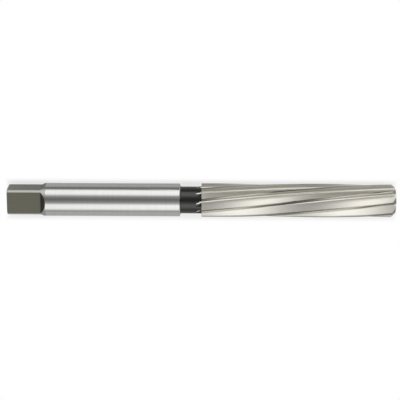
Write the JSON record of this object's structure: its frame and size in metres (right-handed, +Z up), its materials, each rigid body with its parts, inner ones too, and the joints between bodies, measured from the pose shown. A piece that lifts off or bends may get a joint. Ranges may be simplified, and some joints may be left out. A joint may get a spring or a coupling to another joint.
{
  "type": "hand reamer",
  "caption": "Hand reamer with left-hand helical flutes, a plain round shank, an undercut neck and a squared end for a tap wrench.",
  "frame": {"origin": "under the middle of the tool's length, on the surface it lies on", "axes": "+X along the tool's axis towards the cutting end, +Z up, the squared end at -X"},
  "size_m": [0.165, 0.0142, 0.0143],
  "materials": {
    "tool_steel": "ground bright, neck black oxide"
  },
  "bodies": {
    "root": {"reamer": "tool_steel"}
  },
  "joints": []
}
